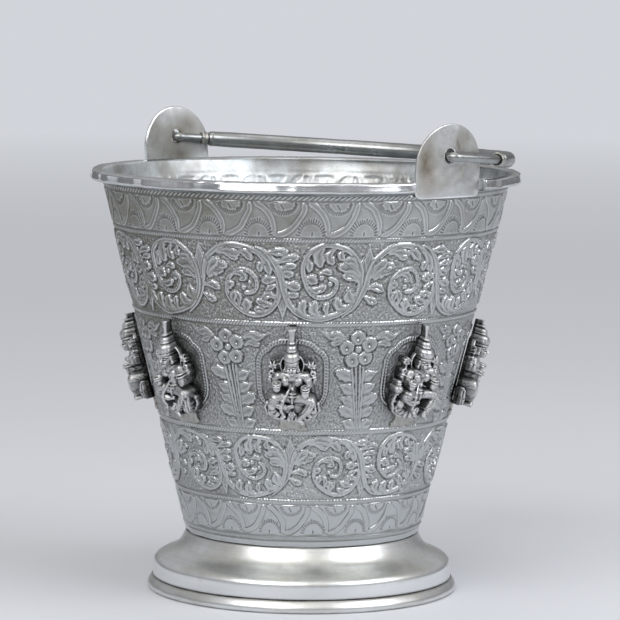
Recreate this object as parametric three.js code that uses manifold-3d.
// A puja bucket: a chased silver pail on a flared foot, with eight cast deities, two ears and a bail.
// Millimetres, Z up, origin on the table under the middle of the foot. The two ears stand on the X axis.
import * as THREE from 'three';
import { mergeVertices } from 'three/addons/utils/BufferGeometryUtils.js';
import Module from 'manifold-3d';

const wasm = await Module();
wasm.setup();

// Fineness of the round forms
const roundSides = 48;
const earSides = 96;
const wireSides = 8;
const gripSides = 8;
const archSteps = 12;
const elbowSteps = 3;

// Clearances
const seatGap = 0.3;
const hingeSlack = 0.3;
const armClearance = 0.4;
const collarSlack = 0.6;
const restGap = 0.25;
const cutOverrun = 2;

// Body: one sheet, rolled to a cone
const bodyHeight = 162.7;
const bodyBottomRadius = 54.4;
const bodyTopRadius = 94;
const wallThickness = 1.2;
const floorThickness = 1.2;

// Chased rope lines round the body: their middles are shares of the body's height
const ropeMiddleShares = [0.0237, 0.1322, 0.334, 0.642, 0.8765, 0.9915];
const ropeWidth = 2.3;
const ropeRise = 0.5;

// Rim: a heavy hammered band on the edge of the sheet
const rimProud = 6;
const rimHeight = 5.8;
const rimBevelRun = 0.3;
const rimCornerInset = 0.5;
const rimLipInset = 2.5;
const rimWidestShare = 0.41;
const rimCornerShare = 0.91;

// Ears: flat sheet with a round top, bent to the curve of the rim
const earWidth = 39.6;
const earThickness = 1.4;
const earStandoff = 0.8;
const earFootDrop = 1.9;
const earRise = 25.1;
const earHoleRadius = 3.7;
const earHoleDrop = 13.5;
const earArcSteps = 8;
const earFootRound = 2;

// Bail: one wire with a tube over its arch
const wireRadius = 2.15;
const elbowRadius = 2.4;
const bailCrownInset = 8;
const rightArmLength = 20;
const leftArcPower = 1.6;
const rightArcPower = 1.56;
const pinHeadRadius = 4.2;
const pinHeadLength = 1.6;
const leftPinLength = 4.8;
const rightPinLength = 2.6;

// Grip: the tube, and the solder collar at each end of it
const gripRadius = 3.7;
const gripWall = 0.8;
const gripLeftReach = 20;
const gripRightReach = 31;
const collarLength = 3;
const collarTipWall = 0.7;

// Foot: a spun pedestal on a cast base ring
const footHeight = 21.1;
const footNeckInset = 0.1;
const footBandRadius = 69.8;
const footWall = 1.2;
const footBandHeight = 6.3;
const baseRingHeight = 5.8;
const baseRingProud = 2.45;
const baseRingWidth = 7.5;
const baseNoseShare = 0.33;
const baseTopInset = 2;
const baseFootInset = 1.3;

// The pedestal's outer line: [share of the way from neck to band, share of the height from crest to neck]
const footLineShares = [
  [0, 1], [0.135, 0.655], [0.303, 0.44], [0.429, 0.345], [0.671, 0.257], [0.819, 0.156], [0.916, 0.04],
];
const footCrestShare = 0.955;

// Deities: seated castings in a ring, soldered flat on the wall
const figureCount = 8;
const figurePhaseDegrees = -1;
const figureWidth = 24.5;
const figureHeight = 42.8;
const figureDepth = 9.7;
const figureBaseRise = 59;
const massSides = 6;
const massRings = 4;
const budSides = 4;
const budRings = 3;
const limbSides = 4;
const seatPetals = 10;
const seatLobeShare = 0.12;
const tabWidth = 12.4;
const tabHeight = 5.2;
const tabThickness = 0.8;
const tabFlareShare = 0.8;

// Rounded masses of a deity: [x, y, z] in shares of width, height and depth, radii in shares of the height
const massShares = [
  { at: [0, 0.22, 0.46], radii: [0.16, 0.085, 0.09] },
  { at: [0, 0.4, 0.42], radii: [0.11, 0.13, 0.075] },
  { at: [0, 0.568, 0.56], radii: [0.056, 0.07, 0.062] },
];

// Small masses, one on each side: breasts, and the buds that the rear hands hold up
const pairShares = [
  { at: [0.105, 0.42, 0.66], radii: [0.056, 0.056, 0.054] },
  { at: [0.385, 0.575, 0.36], radii: [0.048, 0.075, 0.034] },
];

// Arms, one on each side: shoulder, elbow and hand as shares, then the radius as a share of the height
const armShares = [
  { bend: [[0.15, 0.49, 0.42], [0.345, 0.385, 0.5], [0.265, 0.3, 0.86]], radius: 0.038 },
  { bend: [[0.1, 0.47, 0.3], [0.385, 0.42, 0.3], [0.405, 0.53, 0.36]], radius: 0.03 },
];

// Legs: ends as shares, then the radius at each end. One shin lies across the lap and the other hangs down
const thighShares = { from: [0.07, 0.225, 0.5], to: [0.37, 0.235, 0.68], radii: [0.06, 0.058] };
const tuckedShinShares = { from: [-0.36, 0.225, 0.7], to: [0.05, 0.15, 0.84], radii: [0.05, 0.035] };
const hangingShinShares = { from: [0.37, 0.235, 0.7], to: [0.14, 0.075, 0.86], radii: [0.052, 0.034] };

// Turned outlines: [radius, height] as shares of the deity's height
const crownShares = [
  [0.078, 0.62], [0.076, 0.735], [0.05, 0.745], [0.038, 0.835], [0.021, 0.85], [0.02, 0.95], [0.036, 1],
];
const seatShares = [[0.15, 0], [0.25, 0.06], [0.285, 0.15], [0.2, 0.185]];
const crownDepthShare = 0.48;
const haloRadiusShare = 0.128;
const haloMiddleShare = 0.597;
const haloDepthShare = 0.3;
const haloSides = 8;

// Finishes
const silver = { color: 0xc9c5bd, roughness: 0.36, metalness: 0.95 };
const polishedSilver = { color: 0xd6d2ca, roughness: 0.24, metalness: 0.98 };
const darkSilver = { color: 0xaaa69f, roughness: 0.42, metalness: 0.95 };

// Sizes worked out from the ones above
const footBottomZ = baseRingHeight + seatGap;
const footCrestZ = footBottomZ + footBandHeight;
const footNeckRadius = bodyBottomRadius - footNeckInset;
const baseRingRadius = footBandRadius + baseRingProud;
const bodyBottomZ = footBottomZ + footHeight + seatGap;
const bodyTopZ = bodyBottomZ + bodyHeight;
const wallSlope = (bodyTopRadius - bodyBottomRadius) / bodyHeight;
const wallLean = Math.atan(wallSlope);
const wallRun = wallThickness / Math.cos(wallLean);
const ropeHalf = ropeWidth / 2;
const rimSeatZ = bodyTopZ + seatGap;
const rimTopZ = rimSeatZ + rimHeight;
const rimInnerRadius = bodyTopRadius - wallRun;
const rimOuterRadius = bodyTopRadius + rimProud;
const earInnerRadius = bodyTopRadius + earStandoff;
const earOuterRadius = earInnerRadius + earThickness;
const earBottomZ = bodyTopZ - earFootDrop;
const earTopZ = rimTopZ + earRise;
const earHoleZ = earTopZ - earHoleDrop;
const hingeZ = earHoleZ - earHoleRadius + hingeSlack + wireRadius;
const bailReach = rimOuterRadius - bailCrownInset;
const restTilt = Math.asin((hingeZ - gripRadius - rimTopZ - restGap) / bailReach);
const rightArmX = earOuterRadius + armClearance + wireRadius;
const leftArmX = armClearance + wireRadius - earInnerRadius;

/** The body's outer radius at a height. */
function wallRadius(z) {
  return bodyBottomRadius + (z - bodyBottomZ) * wallSlope;
}

/** Turns a closed mesh into a solid that can be joined and cut. */
function solidOf(geometry) {
  const bare = geometry.clone();
  bare.deleteAttribute('normal');
  bare.deleteAttribute('uv');
  const welded = mergeVertices(bare, 1e-4);
  const vertProperties = new Float32Array(welded.attributes.position.array);
  const triVerts = new Uint32Array(welded.index.array);
  return new wasm.Manifold(new wasm.Mesh({ numProp: 3, vertProperties, triVerts }));
}

/** Turns a solid back into a mesh that can be shown. */
function geometryOf(solid) {
  const mesh = solid.getMesh();
  const geometry = new THREE.BufferGeometry();
  geometry.setAttribute('position', new THREE.BufferAttribute(new Float32Array(mesh.vertProperties), 3));
  geometry.setIndex(new THREE.BufferAttribute(new Uint32Array(mesh.triVerts), 1));
  geometry.computeVertexNormals();
  return geometry;
}

/** Joins a list of geometries into one solid. */
function joined(geometries) {
  return geometries.map(solidOf).reduce((whole, next) => whole.add(next));
}

/** Revolves a closed outline of [radius, z] points about the Z axis. */
function turned(outline, sides = roundSides) {
  const points = [...outline, outline[0]].map(([radius, z]) => new THREE.Vector2(radius, z));
  return new THREE.LatheGeometry(points, sides).rotateX(Math.PI / 2);
}

/** Revolves an outline of [radius, y] points that starts and ends on the Y axis. */
function turnedUpright(outline, sides) {
  const first = outline[0];
  const last = outline[outline.length - 1];
  const points = [[0, first[1]], ...outline, [0, last[1]]].map(([radius, y]) => new THREE.Vector2(radius, y));
  return new THREE.LatheGeometry(points, sides);
}

/** Makes a named mesh. */
function piece(name, geometry, finish) {
  const mesh = new THREE.Mesh(geometry, new THREE.MeshStandardMaterial(finish));
  mesh.name = name;
  return mesh;
}

/** The conical wall, with its rope lines standing proud as low ridges. */
function bodyShell() {
  const outer = [[bodyBottomRadius, bodyBottomZ]];
  for (const share of ropeMiddleShares) {
    const middle = bodyBottomZ + share * bodyHeight;
    outer.push([wallRadius(middle - ropeHalf), middle - ropeHalf]);
    outer.push([wallRadius(middle) + ropeRise, middle]);
    outer.push([wallRadius(middle + ropeHalf), middle + ropeHalf]);
  }
  outer.push([bodyTopRadius, bodyTopZ]);
  const inner = [[bodyTopRadius - wallRun, bodyTopZ], [bodyBottomRadius - wallRun, bodyBottomZ]];
  return piece('body_shell', turned([...outer, ...inner]), silver);
}

/** The round floor, let into the bottom of the wall. */
function bodyFloor() {
  const radius = bodyBottomRadius - wallRun - seatGap;
  const disc = new THREE.CylinderGeometry(radius, radius, floorThickness, roundSides).rotateX(Math.PI / 2);
  disc.translate(0, 0, bodyBottomZ + floorThickness / 2);
  return piece('body_floor', disc, darkSilver);
}

/** The outline of an ear seen from outside: x across, y up. */
function earOutline(grow, bottom) {
  const half = earWidth / 2 + grow;
  const shoulder = earTopZ - earWidth / 2;
  const outline = new THREE.Shape();
  outline.moveTo(-half + earFootRound, bottom);
  outline.lineTo(half - earFootRound, bottom);
  outline.quadraticCurveTo(half, bottom, half, bottom + earFootRound);
  outline.absarc(0, shoulder, half, 0, Math.PI, false);
  outline.lineTo(-half, bottom + earFootRound);
  outline.quadraticCurveTo(-half, bottom, -half + earFootRound, bottom);
  return outline;
}

/** Runs an outline seen from outside along X, past both faces of the band that it cuts. */
function earPrism(outline) {
  const depth = rimOuterRadius + cutOverrun;
  const settings = { depth, bevelEnabled: false, curveSegments: earArcSteps };
  const prism = new THREE.ExtrudeGeometry(outline, settings);
  return prism.rotateX(Math.PI / 2).rotateZ(Math.PI / 2);
}

/** A hoop about Z between two radii, tall enough for an ear. */
function earHoop(inner, outer) {
  const low = earBottomZ - cutOverrun;
  const high = earTopZ + cutOverrun;
  return turned([[inner, low], [outer, low], [outer, high], [inner, high]], earSides);
}

/** One ear: the outline cut from a hoop, with the pin's hole. */
function ear(name, turn) {
  const outline = earOutline(0, earBottomZ);
  const hole = new THREE.Path();
  hole.absarc(0, earHoleZ, earHoleRadius, 0, 2 * Math.PI, true);
  outline.holes.push(hole);
  const plate = solidOf(earPrism(outline)).intersect(solidOf(earHoop(earInnerRadius, earOuterRadius)));
  return piece(name, geometryOf(plate).rotateZ(turn), silver);
}

/** The rim band, notched from outside where each ear passes down through it. */
function rimBand() {
  const outline = [
    [rimInnerRadius, rimSeatZ],
    [bodyTopRadius + rimBevelRun, rimSeatZ],
    [rimOuterRadius, rimSeatZ + rimWidestShare * rimHeight],
    [rimOuterRadius - rimCornerInset, rimSeatZ + rimCornerShare * rimHeight],
    [rimOuterRadius - rimLipInset, rimTopZ],
    [rimInnerRadius + rimBevelRun, rimTopZ],
  ];
  const hoop = solidOf(earHoop(earInnerRadius - seatGap, rimOuterRadius + cutOverrun));
  const notch = solidOf(earPrism(earOutline(seatGap, earBottomZ - cutOverrun))).intersect(hoop);
  const band = solidOf(turned(outline)).subtract(notch).subtract(notch.rotate([0, 0, 180]));
  return piece('rim_band', geometryOf(band), polishedSilver);
}

/** The spun pedestal: a thin wall that flares from the body to a short upright band. */
function footPedestal() {
  const spread = footBandRadius - footNeckRadius;
  const rise = footHeight - footBandHeight;
  const line = footLineShares.map(([out, up]) => [footNeckRadius + out * spread, footCrestZ + up * rise]);
  const outer = [
    [footBandRadius, footBottomZ],
    [footNeckRadius + footCrestShare * spread, footCrestZ],
    ...line.reverse(),
  ];
  const hollow = outer.filter((point, index) => index % 2 === 0).reverse();
  const inner = hollow.map(([radius, z]) => [radius - footWall, z - footWall]);
  inner[inner.length - 1][1] = footBottomZ;
  inner[0][1] = outer[outer.length - 1][1];
  return piece('foot_pedestal', turned([...outer, ...inner]), polishedSilver);
}

/** The heavy ring that the pail stands on, with a bull nose. */
function baseRing() {
  const inner = baseRingRadius - baseRingWidth;
  const nose = baseNoseShare * baseRingHeight;
  const outline = [
    [inner, 0],
    [baseRingRadius - baseFootInset, 0],
    [baseRingRadius, nose],
    [baseRingRadius - baseFootInset / 2, baseRingHeight - nose],
    [baseRingRadius - baseTopInset, baseRingHeight],
    [inner, baseRingHeight],
  ];
  return piece('base_ring', turned(outline), polishedSilver);
}

/** A bent line through stations that keeps a section square to the bend at each one. */
class StationPath extends THREE.Curve {
  constructor(stations) {
    super();
    this.stations = stations;
  }

  getPoint(t) {
    const place = t * (this.stations.length - 1);
    const index = Math.min(Math.floor(place), this.stations.length - 2);
    return this.stations[index].clone().lerp(this.stations[index + 1], place - index);
  }

  getUtoTmapping(u) {
    return u;
  }

  getTangent(t) {
    const index = Math.round(t * (this.stations.length - 1));
    const here = this.stations[index];
    const before = this.stations[Math.max(index - 1, 0)];
    const after = this.stations[Math.min(index + 1, this.stations.length - 1)];
    const away = after.clone().sub(here).normalize();
    return away.add(here.clone().sub(before).normalize()).normalize();
  }
}

/** Half of the bail's arch, from its arm at a reach to the crown: x along the hinge, y away from it. */
function archHalf(armX, armLength, power, fromReach) {
  const rise = bailReach - armLength;
  const start = Math.asin(Math.pow(Math.max(fromReach - armLength, 0) / rise, power / 2));
  const stations = [];
  for (let step = 0; step <= archSteps; step += 1) {
    const angle = start + (Math.PI / 2 - start) * (step / archSteps);
    const across = Math.pow(Math.max(Math.cos(angle), 0), 2 / power);
    const away = Math.pow(Math.sin(angle), 2 / power);
    stations.push(new THREE.Vector3(armX * across, armLength + rise * away, 0));
  }
  return stations;
}

/** The whole arch from a reach on the left to a reach on the right. */
function arch(leftReach, rightReach) {
  const left = archHalf(leftArmX, elbowRadius, leftArcPower, leftReach);
  const right = archHalf(rightArmX, rightArmLength, rightArcPower, rightReach).reverse();
  return [...left, ...right.slice(1)];
}

/** The quarter bend between a pin on the hinge line and an arm. */
function elbow(armX, side) {
  const stations = [];
  for (let step = 0; step < elbowSteps; step += 1) {
    const angle = (Math.PI / 2) * (step / elbowSteps);
    const x = armX + side * elbowRadius * (1 - Math.sin(angle));
    stations.push(new THREE.Vector3(x, elbowRadius * (1 - Math.cos(angle)), 0));
  }
  return stations;
}

/** A round or holed section of the wire or tube. */
function ringShape(radius, bore, sides) {
  const shape = new THREE.Shape();
  shape.absarc(0, 0, radius, 0, 2 * Math.PI, false);
  if (bore > 0) {
    const hole = new THREE.Path();
    hole.absarc(0, 0, bore, 0, 2 * Math.PI, true);
    shape.holes.push(hole);
  }
  return { shape, sides };
}

/** Sweeps a section along stations. */
function swept({ shape, sides }, stations) {
  const extrudePath = new StationPath(stations);
  const steps = stations.length - 1;
  const settings = { extrudePath, steps, curveSegments: sides / 2, bevelEnabled: false };
  return new THREE.ExtrudeGeometry(shape, settings);
}

/** A pin's peened head on the hinge line, reaching from one x to another. */
function pinHead(from, to) {
  const head = new THREE.CylinderGeometry(pinHeadRadius, pinHeadRadius, Math.abs(to - from), gripSides);
  return head.rotateZ(Math.PI / 2).translate((from + to) / 2, 0, 0);
}

/** The bail's wire: pin, arm, arch, arm and pin, with a head at each end. */
function bailRod() {
  const leftEndX = -earOuterRadius - leftPinLength;
  const rightEndX = earInnerRadius - rightPinLength;
  const stations = [
    new THREE.Vector3(leftEndX + pinHeadLength / 2, 0, 0),
    ...elbow(leftArmX, -1),
    ...arch(elbowRadius, 0),
    ...elbow(rightArmX, -1).reverse(),
    new THREE.Vector3(rightEndX + pinHeadLength / 2, 0, 0),
  ];
  const wire = swept(ringShape(wireRadius, 0, wireSides), stations);
  const heads = [
    pinHead(leftEndX, leftEndX + pinHeadLength),
    pinHead(rightEndX, rightEndX + pinHeadLength),
  ];
  return piece('bail_rod', geometryOf(joined([wire, ...heads])), silver);
}

/** The tube over the arch. */
function gripSleeve() {
  const section = ringShape(gripRadius, gripRadius - gripWall, gripSides);
  return piece('bail_grip_sleeve', swept(section, arch(gripLeftReach, gripRightReach)), polishedSilver);
}

/** A solder collar against one end of the tube, square to the tube's first run of stations. */
function collar(name, [end, next]) {
  const bore = wireRadius + collarSlack;
  const tip = bore + collarTipWall;
  const outline = [[bore, 0], [tip, 0], [gripRadius, collarLength], [bore, collarLength]];
  const mesh = piece(name, turned(outline, gripSides), silver);
  const along = next.clone().sub(end).normalize();
  mesh.quaternion.setFromUnitVectors(new THREE.Vector3(0, 0, 1), along);
  mesh.position.copy(end).addScaledVector(along, -collarLength - seatGap);
  return mesh;
}

/** The whole bail, laid back on the rim. */
function bail() {
  const group = new THREE.Group();
  const tube = arch(gripLeftReach, gripRightReach);
  group.add(bailRod());
  group.add(gripSleeve());
  group.add(collar('bail_collar_left', tube));
  group.add(collar('bail_collar_right', tube.reverse()));
  group.position.set(0, 0, hingeZ);
  group.rotation.x = -restTilt;
  return group;
}

/** A place in a deity from shares of its width, height and depth. */
function placeIn([across, up, out]) {
  return new THREE.Vector3(across * figureWidth, up * figureHeight, out * figureDepth);
}

/** A rounded mass of a deity. */
function mass({ at, radii }, sides = massSides, rings = massRings) {
  const [across, up, out] = radii.map((share) => share * figureHeight);
  const place = placeIn(at);
  const ball = new THREE.SphereGeometry(1, sides, rings);
  return ball.scale(across, up, out).translate(place.x, place.y, place.z);
}

/** A small mass of a deity, with few facets. */
function bud(form) {
  return mass(form, budSides, budRings);
}

/** A tapered limb of a deity, pointed past each end. */
function limb({ from, to, radii }) {
  const start = placeIn(from);
  const run = placeIn(to).sub(start);
  const length = run.length();
  const [wide, narrow] = radii.map((share) => share * figureHeight);
  const outline = [[0, -wide], [wide, 0], [narrow, length], [0, length + narrow]];
  const points = outline.map(([radius, y]) => new THREE.Vector2(radius, y));
  const form = new THREE.LatheGeometry(points, limbSides);
  const turn = new THREE.Quaternion().setFromUnitVectors(new THREE.Vector3(0, 1, 0), run.normalize());
  return form.applyQuaternion(turn).translate(start.x, start.y, start.z);
}

/** An arm of a deity through shoulder, elbow and hand, on the side that is asked for. */
function arm({ bend, radius }, side) {
  const stations = bend.map(([across, up, out]) => placeIn([side * across, up, out]));
  return swept(ringShape(radius * figureHeight, 0, limbSides), stations);
}

/** The same form with its places on the other side. */
function mirrored(form) {
  const copy = { ...form };
  for (const key of ['at', 'from', 'to']) {
    if (form[key]) {
      copy[key] = [-form[key][0], form[key][1], form[key][2]];
    }
  }
  return copy;
}

/** The lotus seat: a turned bowl whose edge is drawn in between its petals. */
function lotusSeat() {
  const outline = seatShares.map(([radius, up]) => [radius * figureHeight, up * figureHeight]);
  const bowl = turnedUpright(outline, seatPetals);
  const place = bowl.attributes.position;
  for (let index = 0; index < place.count; index += 1) {
    const angle = Math.atan2(place.getX(index), place.getZ(index));
    const draw = 1 - seatLobeShare * Math.pow(Math.sin((angle * seatPetals) / 4), 2);
    const flat = figureDepth / (seatShares[2][0] * figureHeight);
    place.setXYZ(index, place.getX(index) * draw, place.getY(index), place.getZ(index) * draw * flat);
  }
  return bowl;
}

/** The tall crown with its finial, and the halo behind the head. */
function crownAndHalo() {
  const outline = crownShares.map(([radius, up]) => [radius * figureHeight, up * figureHeight]);
  const crown = turnedUpright(outline, massSides);
  crown.translate(0, 0, crownDepthShare * figureDepth);
  const radius = haloRadiusShare * figureHeight;
  const halo = new THREE.CylinderGeometry(radius, radius, haloDepthShare * figureDepth, haloSides);
  halo.rotateX(Math.PI / 2);
  halo.translate(0, haloMiddleShare * figureHeight, (haloDepthShare * figureDepth) / 2);
  return [crown, halo];
}

/** One seated deity with four arms, its back flat: x across, y up the wall, z out from it. */
function deity(handed) {
  const turnShape = handed > 0 ? (form) => form : mirrored;
  const forms = [
    lotusSeat(),
    ...crownAndHalo(),
    ...massShares.map((form) => mass(form)),
    ...pairShares.flatMap((form) => [bud(form), bud(mirrored(form))]),
    ...armShares.flatMap((form) => [arm(form, 1), arm(form, -1)]),
    limb(thighShares),
    limb(mirrored(thighShares)),
    ...[tuckedShinShares, hangingShinShares].map((form) => limb(turnShape(form))),
  ];
  const behind = new THREE.BoxGeometry(figureWidth * 2, figureHeight * 3, figureDepth * 2);
  behind.translate(0, figureHeight, seatGap - figureDepth);
  return geometryOf(joined(forms).subtract(solidOf(behind)));
}

/** The solder tab under a deity, laid over the rope line. */
function solderTab() {
  const half = tabWidth / 2;
  const narrow = half * tabFlareShare;
  const outline = new THREE.Shape();
  outline.moveTo(-half, -seatGap);
  outline.lineTo(-narrow, -tabHeight);
  outline.lineTo(narrow, -tabHeight);
  outline.lineTo(half, -seatGap);
  const plate = new THREE.ExtrudeGeometry(outline, { depth: tabThickness, bevelEnabled: false });
  return plate.translate(0, 0, ropeRise + seatGap);
}

/** The ring of deities with their tabs, each on a frame that leans with the wall. */
function deityRing() {
  const ring = new THREE.Group();
  const castings = [deity(-1), deity(1)];
  const lift = new THREE.Matrix4();
  for (let index = 0; index < figureCount; index += 1) {
    const angle = (2 * Math.PI * index) / figureCount + THREE.MathUtils.degToRad(figurePhaseDegrees);
    const outward = new THREE.Vector3(Math.cos(angle), Math.sin(angle), 0);
    const across = new THREE.Vector3(-outward.y, outward.x, 0);
    const up = outward.clone().multiplyScalar(Math.sin(wallLean)).setZ(Math.cos(wallLean));
    const out = across.clone().cross(up);
    const seat = new THREE.Group();
    lift.makeBasis(across, up, out);
    seat.quaternion.setFromRotationMatrix(lift);
    seat.position.copy(outward).multiplyScalar(wallRadius(bodyBottomZ + figureBaseRise));
    seat.position.z = bodyBottomZ + figureBaseRise;
    seat.add(piece(`deity_${index + 1}`, castings[index % castings.length].clone(), polishedSilver));
    seat.add(piece(`solder_tab_${index + 1}`, solderTab(), darkSilver));
    ring.add(seat);
  }
  return ring;
}

const group = new THREE.Group();
group.add(bodyShell());
group.add(bodyFloor());
group.add(rimBand());
group.add(ear('ear_right', 0));
group.add(ear('ear_left', Math.PI));
group.add(footPedestal());
group.add(baseRing());
group.add(deityRing());
group.add(bail());

export default group;
